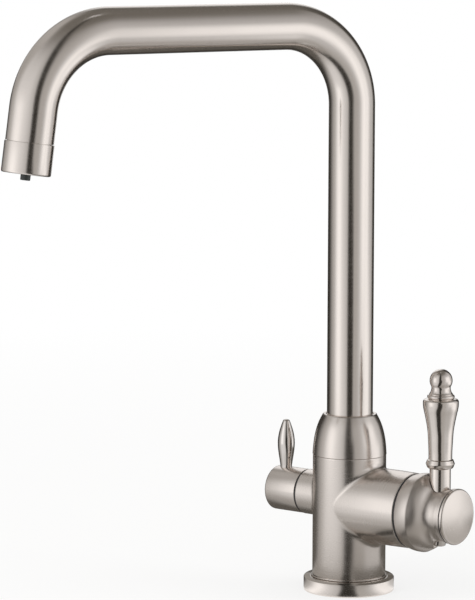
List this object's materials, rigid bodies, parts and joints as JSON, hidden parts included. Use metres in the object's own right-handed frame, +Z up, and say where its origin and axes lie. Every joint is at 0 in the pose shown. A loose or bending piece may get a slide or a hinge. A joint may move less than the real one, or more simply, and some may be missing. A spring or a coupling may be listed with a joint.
{
  "type": "kitchen mixer tap",
  "caption": "Three way kitchen mixer tap with a swivelling squared swan neck spout, a side mixer lever, a small filtered water lever and a threaded shank fixing.",
  "frame": {"origin": "centre of the base flange's underside, where the tap stands on the worktop and on the spout's swivel axis", "axes": "+Z up along the column and the spout's swivel axis, +X along the mixer valve's arm, -X along the filtered water valve's arm, -Y towards the user"},
  "size_m": [0.1707, 0.2515, 0.4214],
  "materials": {
    "satin_nickel": "satin brushed nickel plate, warm grey",
    "polished_nickel": "polished nickel plate",
    "brass": "turned brass, bare",
    "rubber": "moulded black rubber",
    "white_plastic": "moulded acetal, off white",
    "dark_plastic": "moulded dark grey plastic",
    "disc_ceramic": "lapped alumina",
    "steel": "zinc plated or stainless steel"
  },
  "bodies": {
    "tap_body": {"body_casting": "satin_nickel", "base_flange": "satin_nickel", "base_gasket": "rubber", "mounting_shank": "brass", "spout_collar": "satin_nickel", "lower_glide_ring": "white_plastic", "upper_glide_ring": "white_plastic", "filter_nipple": "brass", "cartridge_case": "white_plastic", "cartridge_base": "white_plastic", "cartridge_seals": "rubber", "cartridge_nut": "brass", "fixed_disc": "disc_ceramic", "filter_headwork": "brass", "filter_seal": "rubber", "filter_fixed_disc": "disc_ceramic"},
    "spout": {"swivel_insert": "brass", "swivel_o_rings": "rubber", "spout_tube": "satin_nickel", "filter_line": "white_plastic", "aerator_housing": "satin_nickel", "aerator_insert": "dark_plastic", "aerator_washer": "rubber", "filter_nozzle": "dark_plastic"},
    "mixer_carrier": {"lever_carrier": "white_plastic", "pivot_pin": "steel"},
    "mixer_lever": {"lever_spindle": "steel", "lever_hub": "satin_nickel", "lever_cap": "satin_nickel", "hub_grub_screw": "steel", "hub_plug": "polished_nickel", "handle_stem": "satin_nickel", "handle_grip": "satin_nickel", "handle_finial": "satin_nickel", "handle_tie_rod": "steel"},
    "mixer_disc": {"moving_disc": "disc_ceramic", "disc_driver": "white_plastic"},
    "filter_tap": {"filter_moving_disc": "disc_ceramic", "filter_spindle": "brass", "filter_knob": "satin_nickel", "filter_grub_screw": "steel", "filter_lever": "polished_nickel"},
    "fixing_set": {"rubber_washer": "rubber", "steel_washer": "steel", "mounting_nut": "brass"}
  },
  "joints": [
    {"name": "spout_swivel", "type": "hinge", "parent": "tap_body", "child": "spout", "pos_m": [0, 0, 0.084], "axis": [0, 0, 1], "continuous": true},
    {"name": "mixer_turn", "type": "hinge", "parent": "tap_body", "child": "mixer_carrier", "pos_m": [0.058, 0, 0.0545], "axis": [1, 0, 0], "range_deg": [-45, 45]},
    {"name": "mixer_tilt", "type": "hinge", "parent": "mixer_carrier", "child": "mixer_lever", "pos_m": [0.058, 0, 0.0545], "axis": [0, 1, 0], "range_deg": [0, 18]},
    {"name": "disc_slide", "type": "slide", "parent": "mixer_carrier", "child": "mixer_disc", "axis": [0, 0, 1], "range_m": [-0.0001, 0.0092]},
    {"name": "filter_turn", "type": "hinge", "parent": "tap_body", "child": "filter_tap", "pos_m": [-0.0491, 0, 0.057], "axis": [1, 0, 0], "range_deg": [0, 90]},
    {"name": "nut_travel", "type": "slide", "parent": "tap_body", "child": "fixing_set", "axis": [0, 0, -1], "range_m": [-0.034, 0.01]}
  ],
  "couplings": [
    {"joint": "disc_slide", "follows": "mixer_tilt", "m_per_rad": 0.0287}
  ]
}
